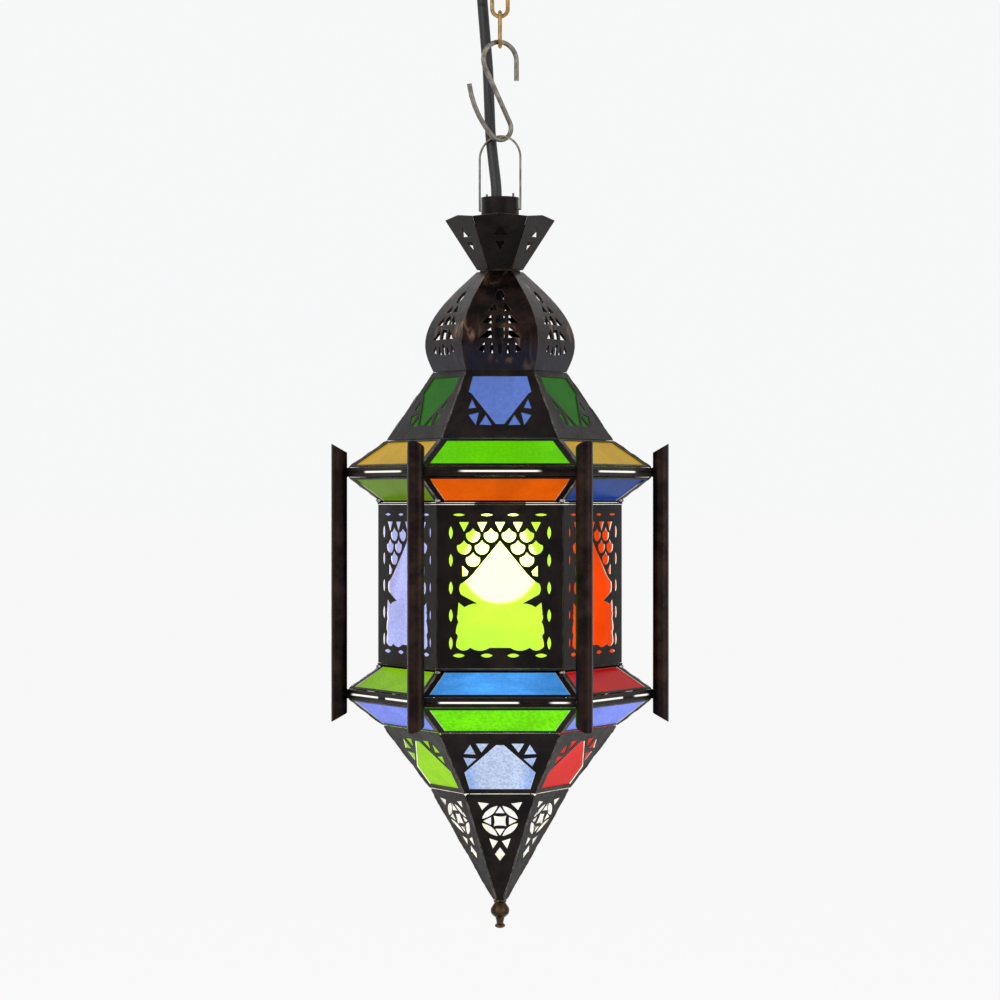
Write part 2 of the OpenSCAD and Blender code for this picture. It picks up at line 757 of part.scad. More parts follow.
module s_hook() {
    top = [0, 0, -s_top_r];
    low = [0, 0, s_low_r - s_h];
    flare = low - (s_flare_r - s_low_r) * [cos(s_low_turn), 0, sin(s_low_turn)];
    route = concat(
        [[s_top_r, 0, -s_top_r - s_tip], [s_top_r, 0, -s_top_r - s_tip + s_wire / 4]],
        arc_points(top, s_top_r, 0, 180 + s_tangent, 16),
        arc_points(low, s_low_r, s_tangent, s_low_turn, 12),
        [for (i = [1:s_flare_steps])
            arc_points(flare, s_flare_r, s_low_turn, s_low_turn - s_flare_turn, s_flare_steps)[i]]
    );
    color("#8d8f90") translate([0, 0, z_s_hook]) rotate([0, 0, s_turn]) swept_tube(route, s_wire, s_sides);
}

// Bail, with its ends turned in through the collar and up inside it
module bail() {
    color("#8d8f90") rotate([0, 0, bail_turn]) {
        translate([0, 0, z_bail - bail_r]) wire_arc(bail_r, bail_wire, 0, 180);
        for (side = [-1, 1]) {
            elbow = [side * bail_r, 0, z_pivot];
            inner_elbow = [side * bail_pin_r, 0, z_pivot];
            wire_rod(bail_wire, elbow, [side * bail_r, 0, z_bail - bail_r]);
            wire_ball(bail_wire, elbow);
            wire_rod(bail_wire, inner_elbow, elbow);
            wire_ball(bail_wire, inner_elbow);
            wire_rod(bail_wire, inner_elbow, inner_elbow + [0, 0, bail_up]);
        }
    }
}

module flex() {
    color("#161616") swept_tube(flex_route, flex_d, flex_sides, [0, 0, -1]);
}

// Flex inside the lantern, from the collar's grip down to the lamp holder
module inner_flex() {
    route = [
        [grip_x, 0, z_grip],
        [grip_x, 0, z_collar_floor - 2 * grip_under],
        [grip_x / 2, 0, z_dome - dome_h / 2],
        [0, 0, z_roof],
        [0, 0, z_holder + holder_entry_h + hang_gap]
    ];
    color("#161616") swept_tube(route, flex_d, flex_sides, [0, 0, -1]);
}

// Collar tube, with a foot flange on the dome and a floor that holds the cord grip
module collar() {
    color("#5d554c") difference() {
        union() {
            translate([0, 0, z_neck]) cylinder(d = collar_d, h = collar_h);
            translate([0, 0, z_neck]) cylinder(r = apothem(neck_r), h = flange_t);
        }
        difference() {
            translate([0, 0, z_neck - over])
                cylinder(d = collar_d - 2 * collar_wall, h = collar_h + 2 * over);
            translate([0, 0, z_collar_floor - collar_floor_t]) cylinder(d = collar_d, h = collar_floor_t);
        }
        translate([grip_x, 0, z_collar_floor - collar_floor_t - over])
            cylinder(r = flex_d / 2 + grip_wall + shank_gap, h = collar_floor_t + 2 * over);
        translate([0, 0, z_pivot]) rotate([0, 90, bail_turn])
            cylinder(r = bail_wire / 2 + pin_gap, h = collar_d + 2 * over, center = true);
    }
}

module collar_cord_grip() {
    neck = flex_d / 2 + grip_wall;
    bore = flex_d / 2 + pin_gap;
    z_foot = -collar_floor_t - hang_gap;
    color("#1b1b1b") translate([grip_x, 0, z_collar_floor]) rotate_extrude() polygon([
        [bore, z_foot - grip_under],
        [neck, z_foot - grip_under],
        [neck + grip_flange_w, z_foot - grip_flange],
        [neck + grip_flange_w, z_foot],
        [neck, z_foot],
        [neck, hang_gap],
        [neck + grip_flange_w / 2, hang_gap],
        [neck + grip_flange_w / 2, hang_gap + grip_flange],
        [neck, hang_gap + 2 * grip_flange],
        [bore + relief_tip_wall, z_grip - z_collar_floor],
        [bore, z_grip - z_collar_floor]
    ]);
}

// Six pierced petals, each gabled at its top
module crown() {
    y_top = slant(crown_tier) - top_trim(crown_tier, sheet);
    x_top = half_width(crown_tier, y_top) - sheet_side;
    color("#4a3f38") for (k = [0:sides - 1])
        on_tier(crown_tier, k) translate([0, 0, -sheet]) linear_extrude(sheet) difference() {
            union() {
                facet_outline(crown_tier, sheet_side, edge_gap, slant(crown_tier) - y_top);
                polygon([[-x_top, y_top], [x_top, y_top], [0, y_top + petal_rise]]);
            }
            crown_lace();
        }
}

// Onion profile: a quarter sine out to the belly, then a quarter cosine in to the foot
dome_belly_share = 0.73;
dome_steps = 16;
function dome_corner(u) = u < dome_belly_share
    ? neck_r + (dome_r - neck_r) * sin(90 * u / dome_belly_share)
    : dome_foot_r + (dome_r - dome_foot_r) * cos(90 * (u - dome_belly_share) / (1 - dome_belly_share));
function dome_point(u) = [apothem(dome_corner(u)), z_dome - u * dome_h];
dome_du = 0.01;
function dome_inner(u) =
    let (
        d = dome_point(min(1, u + dome_du)) - dome_point(max(0, u - dome_du)),
        n = [-d[1], d[0]] / norm(d)
    )
    dome_point(u) - n * sheet;

module dome() {
    steps = [0:dome_steps];
    outer = [for (i = steps) dome_point(i / dome_steps)];
    inner = [for (i = steps) dome_inner(1 - i / dome_steps)];
    color("#54423a") for (k = [0:sides - 1]) difference() {
        mitred(k, edge_gap) polygon(concat(outer, inner));
        rotate([0, 0, k * 360 / sides]) translate([0, 0, z_dome_foot]) rotate([90, 0, 0])
            linear_extrude(dome_r) dome_lace();
    }
}

module roof_frames() {
    color("#3f342d") for (k = [0:sides - 1]) tin(roof_tier, k) roof_lace();
}

// Plain frames of a glazed tier
module frames(t) {
    color("#33291f") for (k = [0:sides - 1]) tin(t, k) window(t);
}

module upper_eave() {
    frames(eave_tier);
}

module upper_skirt() {
    frames(skirt_tier);
}

module lower_flare() {
    frames(flare_tier);
}

module lower_skirt() {
    frames(low_skirt_tier);
}

// Hexagon of mitred channel with its top at the given height, grooved round the outside
module belt(z_top) {
    out = apothem(belt_r);
    in = out - belt_depth;
    groove = out - belt_groove;
    wall = groove - belt_wall;
    bead = belt_bead_share * belt_h;
    slope = belt_slope_share * belt_h;
    color("#3a2f28") for (k = [0:sides - 1])
        mitred(k, edge_gap / 2) translate([0, z_top - belt_h]) polygon([
            [in, 0], [out - belt_wall / 2, 0], [out, belt_wall / 2], [out, bead], [groove, bead + slope],
            [groove, belt_h - bead - slope], [out, belt_h - bead], [out, belt_h - belt_wall / 2],
            [out - belt_wall / 2, belt_h], [in, belt_h], [in, belt_h - belt_wall],
            [wall, belt_h - belt_wall], [wall, belt_wall], [in, belt_wall]
        ]);
}

module upper_belt() {
    belt(z_belt);
}

module lower_belt() {
    belt(z_low_belt);
}

// Flat hexagonal rim of mitred strips
module rim(z_top) {
    color("#3f342d") for (k = [0:sides - 1]) mitred(k, edge_gap / 2)
        translate([apothem(prism_r) + seam - rim_w, z_top - rim_t]) square([rim_w, rim_t]);
}

module upper_rim() {
    rim(z_rim);
}

module lower_rim() {
    rim(z_low_rim);
}

module panel(k) {
    color("#33291f") tin(prism_tier, k) panel_lace();
}

module panel_front() {
    panel(0);
}

module panel_front_right() {
    panel(1);
}

module panel_back_right() {
    panel(2);
}

module panel_back_left() {
    panel(4);
}

module panel_front_left() {
    panel(5);
}

// Rods inside the corners, which the panels are soldered to
module corner_posts() {
    color("#4b443c") for (k = [0:sides - 1]) rotate([0, 0, k * 360 / sides])
        translate([post_r, 0, z_prism_foot]) cylinder(d = post_d, h = z_bracket_foot - z_prism_foot);
}

module pendant_frames() {
    color("#33291f") for (k = [0:sides - 1]) tin(pendant_tier, k) {
        pendant_lace();
        top_snips(pendant_tier);
    }
}

module cone() {
    color("#33291f") for (k = [0:sides - 1]) tin(cone_tier, k) {
        cone_lace();
        top_snips(cone_tier);
    }
}

// Turned finial, as shares of its large bead's radius and of its height
finial_shares = [
    [0.66, 0], [0.7, -0.05], [0.58, -0.1], [0.74, -0.18], [0.94, -0.28], [1, -0.38], [0.94, -0.48],
    [0.74, -0.56], [0.5, -0.62], [0.42, -0.7], [0.36, -0.8], [0.36, -0.84], [0.52, -0.88],
    [0.557, -0.92], [0.5, -0.96], [0.28, -1], [0, -1]
];
spigot_d = 5.6;
spigot_h = 9;

module finial() {
    color("#6b5a34") translate([0, 0, z_cone_foot - seam]) {
        rotate_extrude() polygon(concat(
            [[0, 0]],
            [for (p = finial_shares) [p[0] * finial_bead_d / 2, p[1] * finial_h]]
        ));
        cylinder(d = spigot_d, h = spigot_h);
    }
}

// Rolled tubes, slit towards the axis, seated on the corners of both belts
module wings() {
    wing_h = z_wing - z_wing_foot;
    color("#3b2a22") for (k = [0:sides - 1]) rotate([0, 0, k * 360 / sides]) translate([wing_r, 0, 0])
        difference() {
            translate([0, 0, z_wing_foot]) linear_extrude(wing_h) difference() {
                circle(d = wing_d);
                circle(d = wing_d - 2 * wing_wall);
                translate([-wing_d, -wing_slit / 2]) square([wing_d, wing_slit]);
            }
            for (end = [[z_wing, -1], [z_wing_foot, 1]])
                translate([wing_d / 2, 0, end[0]]) rotate([0, end[1] * wing_slant, 0])
                    translate([-2 * wing_d, -wing_d, end[1] < 0 ? 0 : -2 * wing_d])
                    cube([3 * wing_d, 2 * wing_d, 2 * wing_d]);
        }
}

// Strap across the prism's top, with an eye that carries the lamp holder
module lamp_bracket() {
    color("#4b443c") translate([0, 0, z_bracket_foot]) difference() {
        union() {
            translate([-bracket_reach, -bracket_w / 2, 0]) cube([2 * bracket_reach, bracket_w, bracket_t]);
            cylinder(d = bracket_boss_d, h = bracket_t);
        }
        translate([0, 0, -over]) cylinder(d = holder_skirt_d + 2 * thread_gap, h = bracket_t + 2 * over);
    }
}

module lamp_holder() {
    color("#e8e2d2") rotate_extrude() polygon([
        [holder_bore_d / 2, z_skirt_end],
        [holder_skirt_d / 2, z_skirt_end],
        [holder_skirt_d / 2, z_bracket],
        [holder_d / 2, z_bracket],
        [holder_d / 2, z_holder - holder_entry_h],
        [holder_entry_d / 2, z_holder],
        [holder_entry_d / 2, z_holder + holder_entry_h],
        [0, z_holder + holder_entry_h],
        [0, z_contact + seam],
        [holder_bore_d / 2, z_contact + seam]
    ]);
}

module holder_nut() {
    color("#d8d2c2") translate([0, 0, z_bracket_foot - nut_h]) difference() {
        cylinder(d = nut_d, h = nut_h);
        translate([0, 0, -over]) cylinder(d = holder_skirt_d + 2 * thread_gap, h = nut_h + 2 * over);
    }
}

cap_tip_d = 9;
cap_tip_h = 2.5;

module bulb_cap() {
    color("#b9bcc0") {
        translate([0, 0, z_cap]) cylinder(d = cap_d, h = cap_h - cap_tip_h);
        translate([0, 0, z_cap]) cylinder(d = cap_tip_d, h = cap_h);
    }
}

// Bulb glass: a ball that runs up its own tangent into the neck
neck_start = 30;
ball_steps = 20;
neck_steps = 8;
bulb_neck_wall = 0.4;

module bulb_glass() {
    r = bulb_d / 2;
    neck = cap_d / 2 - bulb_neck_wall;
    a = r * [cos(neck_start), sin(neck_start)];
    b = [neck, a[1] + (a[0] - neck) / tan(neck_start)];
    c = [neck, z_cap - z_bulb];
    ball = [for (i = [0:ball_steps]) let (t = -90 + i * (90 + neck_start) / ball_steps) r * [cos(t), sin(t)]];
    blend = [for (i = [1:neck_steps]) let (u = i / neck_steps)
        a * pow(1 - u, 2) + b * 2 * u * (1 - u) + c * pow(u, 2)];
    color("#fff3c4") translate([0, 0, z_bulb]) rotate_extrude() polygon(concat(ball, blend, [[0, c[1]]]));
}

// Door in the back facet, hung on two pins at its left edge as the front sees it
door_facet = 3;
hinge_x = prism_r / 2 - hinge_edge;
hinge_places = [prism_h / 2 - hinge_rise, prism_h / 2 + hinge_rise];

// Upright cylinder on the door's hinge line, from the given height up its facet
module on_hinge(y, r, h) {
    translate([hinge_x, y, hinge_out]) rotate([-90, 0, 0]) cylinder(r = r, h = h);
}

module door_panel() {
    color("#33291f") {
        difference() {
            union() {
                tin(prism_tier, door_facet, door_side) panel_lace();
                on_tier(prism_tier, door_facet) for (y = hinge_places)
                    on_hinge(y + hang_gap, knuckle_r, knuckle_l);
            }
            on_tier(prism_tier, door_facet) for (y = hinge_places)
                on_hinge(y - over, pin_r + pin_gap, knuckle_l + 2 * over);
        }
    }
}

module door_glass() {
    color("#b8f04a") prism_pane(door_facet);
}

// Fixed half of each hinge: knuckle, pin, arm round the corner and leaf on the next panel
module door_hinge_pins() {
    color("#6b6358") {
        on_tier(prism_tier, door_facet) for (y = hinge_places) {
            on_hinge(y - knuckle_l, fixed_knuckle_r, knuckle_l);
            on_hinge(y - knuckle_l / 2, pin_r, knuckle_l / 2 + knuckle_l + pin_over);
            translate([hinge_x, y - knuckle_l, hinge_out]) rotate([0, -arm_turn, 0])
                translate([0, 0, -leaf_t / 2]) cube([arm_l, knuckle_l, leaf_t]);
        }
        on_tier(prism_tier, door_facet + 1) for (y = hinge_places)
            translate([leaf_edge - prism_r / 2, y - knuckle_l, hang_gap]) cube([leaf_l, knuckle_l, leaf_t]);
    }
}

module door_knob() {
    color("#8a7a4a") on_tier(prism_tier, door_facet) translate([knob_edge - prism_r / 2, prism_h / 2, 0]) {
        cylinder(r = knob_stem_r, h = knob_stem + knob_d / 2);
        translate([0, 0, knob_stem + knob_d / 2]) sphere(d = knob_d);
    }
}

// Panes, in the order in which their colours go round
module panes(t, places) {
    for (k = places) pane(t, k);
}

module roof_glass_violet() {
    color("#7c86e8") panes(roof_tier, [0, 2, 4]);
}

module roof_glass_green() {
    color("#2f7a1e") panes(roof_tier, [1, 3, 5]);
}

module eave_glass_green() {
    color("#35c01f") panes(eave_tier, [0, 2, 4]);
}

module eave_glass_amber() {
    color("#e0a020") panes(eave_tier, [1, 3, 5]);
}

module skirt_glass_red() {
    color("#e8481c") panes(skirt_tier, [0, 3]);
}

module skirt_glass_blue() {
    color("#2a50d8") panes(skirt_tier, [1, 4]);
}

module skirt_glass_olive() {
    color("#7a9a1c") panes(skirt_tier, [2, 5]);
}

module panel_glass_lime() {
    color("#b8f04a") prism_pane(0);
}

module panel_glass_red() {
    color("#e8481c") for (k = [1, 4]) prism_pane(k);
}

module panel_glass_lavender() {
    color("#a89af0") for (k = [2, 5]) prism_pane(k);
}

module flare_glass_blue() {
    color("#3a78f0") panes(flare_tier, [0, 3]);
}

module flare_glass_red() {
    color("#d8281c") panes(flare_tier, [1, 4]);
}

module flare_glass_olive() {
    color("#a0b82a") panes(flare_tier, [2, 5]);
}

module lower_glass_green() {
    color("#35c01f") panes(low_skirt_tier, [0, 2, 4]);
}

module lower_glass_violet() {
    color("#7c86e8") panes(low_skirt_tier, [1, 3, 5]);
}

module pendant_glass_blue() {
    color("#8cc8f4") panes(pendant_tier, [0, 3]);
}

module pendant_glass_red() {
    color("#d8281c") panes(pendant_tier, [1, 4]);
}

module pendant_glass_lime() {
    color("#b8f04a") panes(pendant_tier, [2, 5]);
}

ceiling_plate();
canopy();
ceiling_hook();
canopy_cord_grip();
link_upper();
link_lower();
s_hook();
bail();
flex();
collar();
collar_cord_grip();
crown();
dome();
roof_frames();
upper_eave();
upper_belt();
upper_skirt();
upper_rim();
panel_front();
panel_front_right();
panel_back_right();
panel_back_left();
panel_front_left();
corner_posts();
lower_rim();
lower_flare();
lower_belt();
lower_skirt();
pendant_frames();
cone();
finial();
wings();
lamp_bracket();
lamp_holder();
holder_nut();
bulb_cap();
bulb_glass();
inner_flex();
door_panel();
door_glass();
door_hinge_pins();
door_knob();
roof_glass_violet();
roof_glass_green();
eave_glass_green();
eave_glass_amber();
skirt_glass_red();
skirt_glass_blue();
skirt_glass_olive();
panel_glass_lime();
panel_glass_red();
panel_glass_lavender();
flare_glass_blue();
flare_glass_red();
flare_glass_olive();
lower_glass_green();
lower_glass_violet();
pendant_glass_blue();
pendant_glass_red();
pendant_glass_lime();
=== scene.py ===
"""Hanging hexagonal fanous lantern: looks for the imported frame."""

import json
import math
import random

import bpy
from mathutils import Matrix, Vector


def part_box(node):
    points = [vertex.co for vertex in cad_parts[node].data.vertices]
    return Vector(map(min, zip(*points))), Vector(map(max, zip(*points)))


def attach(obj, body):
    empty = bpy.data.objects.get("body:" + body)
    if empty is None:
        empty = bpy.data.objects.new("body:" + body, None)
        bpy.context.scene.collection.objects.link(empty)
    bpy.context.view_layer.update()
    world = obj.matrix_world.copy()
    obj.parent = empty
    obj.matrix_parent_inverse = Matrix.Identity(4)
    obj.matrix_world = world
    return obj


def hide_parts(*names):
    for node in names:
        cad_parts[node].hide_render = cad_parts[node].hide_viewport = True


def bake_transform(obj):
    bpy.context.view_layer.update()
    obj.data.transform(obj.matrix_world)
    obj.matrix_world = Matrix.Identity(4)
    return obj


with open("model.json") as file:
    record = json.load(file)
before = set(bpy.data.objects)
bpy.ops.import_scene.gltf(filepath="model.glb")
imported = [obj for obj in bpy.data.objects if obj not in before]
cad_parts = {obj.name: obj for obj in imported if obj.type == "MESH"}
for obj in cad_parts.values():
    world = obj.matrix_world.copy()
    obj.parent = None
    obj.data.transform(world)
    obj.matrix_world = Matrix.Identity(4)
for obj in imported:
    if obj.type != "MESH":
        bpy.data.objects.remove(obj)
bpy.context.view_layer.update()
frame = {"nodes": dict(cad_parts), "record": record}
nodes = frame["nodes"]
scene = bpy.context.scene
collection = scene.collection

# Lengths are in metres. The tables of places are in millimetres and are multiplied by MM.
MM = 0.001
SIDES = 6
HALF_TURN = math.pi / SIDES
SEED = 11
random.seed(SEED)

# Camera

CAMERA_DISTANCE = 2.15
CAMERA_Z = -0.5095
FRAME_WIDTH = 0.740
SENSOR = 36.0

camera = bpy.data.objects.new("camera", bpy.data.cameras.new("camera"))
camera.data.sensor_width = SENSOR
camera.data.lens = SENSOR * CAMERA_DISTANCE / FRAME_WIDTH
camera.location = (0.0, -CAMERA_DISTANCE, CAMERA_Z)
camera.rotation_euler = (math.pi / 2, 0.0, 0.0)
collection.objects.link(camera)
scene.camera = camera
scene.view_settings.view_transform = "Standard"

# Meshes

DOWN = Vector((0.0, 0.0, -1.0))
NO_LENGTH = 1e-9


def mesh_object(name, verts, faces, body, slot, shader, smooth=True):
    """A new piece with its shader, on a body if one is named. The slot argument is not used."""
    mesh = bpy.data.meshes.new(name)
    mesh.from_pydata([tuple(v) for v in verts], [], faces)
    mesh.validate()
    mesh.update()
    if smooth:
        mesh.shade_smooth()
    mesh.materials.append(shader.material)
    piece = bpy.data.objects.new(name, mesh)
    collection.objects.link(piece)
    if body:
        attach(piece, body)
    return piece


def spline(points, steps):
    """Points of a Catmull-Rom curve through the given ones."""
    pts = [Vector(p) for p in points]
    pts = [pts[0] * 2 - pts[1]] + pts + [pts[-1] * 2 - pts[-2]]
    out = []
    for i in range(1, len(pts) - 2):
        a, b, c, d = pts[i - 1 : i + 3]
        slope = c - a
        square = a * 2 - b * 5 + c * 4 - d
        cube = b * 3 - a - c * 3 + d
        for j in range(steps):
            t = j / steps
            out.append(0.5 * (b * 2 + slope * t + square * t * t + cube * t**3))
    out.append(pts[-2])
    return out


def resample(points, count):
    """The same line as count points at equal steps along it."""
    lengths = [0.0]
    for a, b in zip(points, points[1:]):
        lengths.append(lengths[-1] + (b - a).length)
    out, j = [], 0
    for i in range(count):
        goal = lengths[-1] * i / (count - 1)
        while j < len(lengths) - 2 and lengths[j + 1] < goal:
            j += 1
        step = max(lengths[j + 1] - lengths[j], NO_LENGTH)
        out.append(points[j].lerp(points[j + 1], min(1.0, (goal - lengths[j]) / step)))
    return out


def direction(points, i):
    """A line's direction at one of its points, which is straight down at both ends."""
    if 0 < i < len(points) - 1:
        return points[i + 1] - points[i - 1]
    return DOWN


def tube(points, radii, sides, ends=None):
    """Vertices and faces of a closed tube; ends gives the direction of its first and last ring."""
    way = (points[1] - points[0]).normalized()
    side = way.orthogonal().normalized()
    verts, faces = [], []
    last = len(points) - 1
    for i, (p, r) in enumerate(zip(points, radii)):
        way = (points[min(i + 1, last)] - points[max(i - 1, 0)]).normalized()
        if ends and i in (0, last):
            way = Vector(ends[0 if i == 0 else 1]).normalized()
        side = (side - way * side.dot(way)).normalized()
        up = way.cross(side)
        for k in range(sides):
            a = 2 * math.pi * k / sides
            verts.append(p + (side * math.cos(a) + up * math.sin(a)) * r)
    for i in range(last):
        for k in range(sides):
            a, b = i * sides + k, i * sides + (k + 1) % sides
            faces.append((a, b, b + sides, a + sides))
    faces.append(tuple(range(sides - 1, -1, -1)))
    faces.append(tuple(last * sides + k for k in range(sides)))
    return verts, faces


def join(parts):
    """One list of vertices and faces out of several."""
    verts, faces = [], []
    for v, f in parts:
        shift = len(verts)
        verts += v
        faces += [tuple(i + shift for i in face) for face in f]
    return verts, faces


# Shader kit

BEVEL_SAMPLES = 4
EDGE_STARTS, EDGE_FULL = 0.985, 0.8


class Nodes:
    """Short calls for the nodes of one tree."""

    def __init__(self, tree):
        self.tree = tree
        self.coords = None

    def node(self, kind, sockets=(), **settings):
        new = self.tree.nodes.new("ShaderNode" + kind)
        for key, value in settings.items():
            setattr(new, key, value)
        for key, value in dict(sockets).items():
            self.put(new.inputs[key], value)
        return new

    def put(self, socket, value):
        if isinstance(value, bpy.types.NodeSocket):
            self.tree.links.new(value, socket)
        elif isinstance(value, (tuple, list)) and len(value) == 3 and socket.type == "RGBA":
            socket.default_value = (*value, 1.0)
        else:
            socket.default_value = value

    def place(self):
        """Where the point is in the piece's own space."""
        if not self.coords:
            self.coords = self.node("TexCoord").outputs["Object"]
        return self.coords

    def axes(self):
        return self.node("SeparateXYZ", {"Vector": self.place()}).outputs

    def noise(self, scale, detail=4.0, rough=0.6, stretch=None, distortion=0.0):
        at = self.place()
        if stretch:
            at = self.node("Mapping", {"Vector": at, "Scale": stretch}).outputs[0]
        sockets = {"Vector": at, "Scale": scale, "Detail": detail}
        sockets.update({"Roughness": rough, "Distortion": distortion})
        return self.node("TexNoise", sockets).outputs["Fac"]

    def math(self, op, a, b=0.0):
        return self.node("Math", {0: a, 1: b}, operation=op).outputs[0]

    def product(self, first, *others):
        for value in others:
            first = self.math("MULTIPLY", first, value)
        return first

    def dot(self, a, b):
        return self.node("VectorMath", {0: a, 1: b}, operation="DOT_PRODUCT").outputs["Value"]

    def span(self, value, low, high, to_low=0.0, to_high=1.0):
        """to_low where the value is low, to_high where it is high, and a smooth step between."""
        sockets = {"Value": value, "From Min": low, "From Max": high}
        sockets.update({"To Min": to_low, "To Max": to_high})
        return self.node("MapRange", sockets, interpolation_type="SMOOTHSTEP").outputs["Result"]

    def vary(self, noise, low, high, reach=0.2):
        """low to high over the middle of a noise, which is 0.5 give or take reach."""
        return self.span(noise, 0.5 - reach, 0.5 + reach, low, high)

    def mix(self, factor, a, b):
        new = self.node("Mix", data_type="RGBA")
        for key, value in (("Factor", factor), ("A", a), ("B", b)):
            self.put(new.inputs[key], value)
        return new.outputs["Result"]

    def facet_share(self):
        """0 at the middle of a facet, 1 at its corners, whichever facet it is."""
        x, y, _ = self.axes()
        turn = self.math("ADD", self.math("ARCTAN2", y, x), math.pi)
        turn = self.math("FLOORED_MODULO", turn, 2 * HALF_TURN)
        turn = self.math("ABSOLUTE", self.math("SUBTRACT", turn, HALF_TURN))
        return self.math("DIVIDE", self.math("TANGENT", turn), math.tan(HALF_TURN))

    def band(self, low_z, high_z, soft):
        """1 between two heights, falling to 0 over soft on both sides."""
        height = self.axes()[2]
        low = self.span(height, low_z - soft, low_z)
        return self.product(low, self.span(height, high_z + soft, high_z))

    def facing(self):
        """1 on faces that look away from the piece's own axis, -1 on those that look at it."""
        x, y, _ = self.axes()
        out = self.node("CombineXYZ", {"X": x, "Y": y}).outputs[0]
        out = self.node("VectorMath", {0: out}, operation="NORMALIZE").outputs[0]
        normal = self.node(
            "VectorTransform",
            {"Vector": self.node("NewGeometry").outputs["True Normal"]},
            vector_type="NORMAL",
            convert_from="WORLD",
            convert_to="OBJECT",
        ).outputs[0]
        return self.dot(normal, out)

    def bump(self, height, strength, distance, after=None):
        """A bump's normal, on top of the one given as after."""
        new = self.node("Bump", {"Height": height, "Strength": strength, "Distance": distance})
        if after:
            self.put(new.inputs["Normal"], after)
        return new.outputs[0]

    def edges(self, radius):
        """1 along the convex and concave edges of the mesh, 0 on its flats."""
        bevel = self.node("Bevel", {"Radius": radius}, samples=BEVEL_SAMPLES).outputs[0]
        flat = self.node("NewGeometry").outputs["Normal"]
        return self.span(self.dot(bevel, flat), EDGE_STARTS, EDGE_FULL)

    def ray(self, *kinds):
        """1 for rays of one of these kinds."""
        outputs = self.node("LightPath").outputs
        flags = [outputs[f"Is {kind} Ray"] for kind in kinds]
        seen = flags[0]
        for flag in flags[1:]:
            seen = self.math("MAXIMUM", seen, flag)
        return seen


class Shader(Nodes):
    """A Principled material."""

    def __init__(self, name):
        self.material = bpy.data.materials.new(name)
        self.material.use_nodes = True
        super().__init__(self.material.node_tree)
        self.bsdf = self.tree.nodes["Principled BSDF"]

    def set(self, **sockets):
        for key, value in sockets.items():
            self.put(self.bsdf.inputs[key.replace("_", " ")], value)


# Metals

METAL_SPECULAR = 0.15
EDGE_R = 0.0004
WEAR_AND_HIGHLIGHT_SCALE = 2.0
BLOTCH_SCALE = 0.22
BLOTCH_SHADE = 0.55
BLOTCH_WEIGHT = 0.55
DENT, DENT_DEPTH = 0.25, 0.0005
SCRATCH, SCRATCH_DEPTH = 0.1, 0.0001
SCRATCH_SCALE = 14.0
SCRATCH_STRETCH = (1.0, 1.0, 0.08)


def metal(name, dark, light, worn_and_highlit, metallic=0.55, rough=0.42, grain=60.0):
    """Sheet or wire metal: two tones, brushed scratches, dents, and worn edges that are also a
    painted highlight along the edges.
    """
    s = Shader(name)
    cloud = s.noise(grain, detail=6.0, rough=0.65)
    blotch = s.noise(grain * BLOTCH_SCALE, detail=3.0, rough=0.5)
    fine = s.noise(grain * SCRATCH_SCALE, detail=2.0, rough=0.5, stretch=SCRATCH_STRETCH)
    colour = s.mix(s.span(cloud, 0.35, 0.7), dark, light)
    shade = [c * BLOTCH_SHADE for c in light]
    colour = s.mix(s.span(blotch, 0.5, 0.72, 0.0, BLOTCH_WEIGHT), colour, shade)
    # Lighter along every edge of the mesh: partly real worn edges, partly a painted highlight where
    # edges catch light.
    wear_and_edge_highlight = s.product(s.edges(EDGE_R), s.span(s.noise(grain * WEAR_AND_HIGHLIGHT_SCALE), 0.35, 0.6))
    matt = s.vary(cloud, rough - 0.08, rough + 0.1)
    s.set(
        Base_Color=s.mix(wear_and_edge_highlight, colour, worn_and_highlit),
        Metallic=metallic,
        Roughness=s.math("ADD", matt, s.vary(fine, -0.03, 0.05)),
        Specular_IOR_Level=METAL_SPECULAR,
        Normal=s.bump(fine, SCRATCH, SCRATCH_DEPTH, s.bump(cloud, DENT, DENT_DEPTH)),
    )
    return s


GLOW = 1.25
GLOW_COLOUR = (1.0, 0.97, 0.82)
GLOW_SCALE = 95.0
GLOW_LOW_Z, GLOW_HIGH_Z = -0.81, -0.5
GLOW_LOW_SHARE = 0.55
GLOW_RISE, GLOW_FADE = 0.03, 0.004


def inner_light(s):
    """Lights the faces that look at the axis, up to a height and less below another."""
    height = s.axes()[2]
    inward = s.span(s.facing(), -0.05, -0.3)
    top = s.span(height, GLOW_HIGH_Z + GLOW_FADE, GLOW_HIGH_Z)
    foot = s.span(height, GLOW_LOW_Z, GLOW_LOW_Z + GLOW_RISE, GLOW_LOW_SHARE, 1.0)
    uneven = s.vary(s.noise(GLOW_SCALE, detail=3.0), 0.65, 1.1)
    s.set(
        Emission_Color=GLOW_COLOUR,
        Emission_Strength=s.product(inward, top, foot, uneven, GLOW),
    )


SLIT_H = 0.0008
SLIT_SOFT = 0.0004
SLIT_FADE_SHARE = 0.1
SLIT_GLOW = 1.1
SLIT_COLOUR = (1.0, 0.98, 0.9)
SAME_AT_EVERY_HEIGHT = (1.0, 1.0, 0.0)


def light_slit(s, belt, reach, dashes=None):
    """Lamp light along a slit at a belt's middle height, over reach as a share of each facet.

    It is broken into dashes where their scale is given.
    """
    low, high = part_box(belt)
    middle = (low.z + high.z) / 2
    lit = s.band(middle - SLIT_H / 2, middle + SLIT_H / 2, SLIT_SOFT)
    lit = s.product(lit, s.span(s.facet_share(), reach + SLIT_FADE_SHARE, reach))
    if dashes:
        breaks = s.noise(dashes, detail=1.0, rough=0.4, stretch=SAME_AT_EVERY_HEIGHT)
        lit = s.product(lit, s.span(breaks, 0.42, 0.46))
    s.set(Emission_Color=SLIT_COLOUR, Emission_Strength=s.product(lit, SLIT_GLOW))
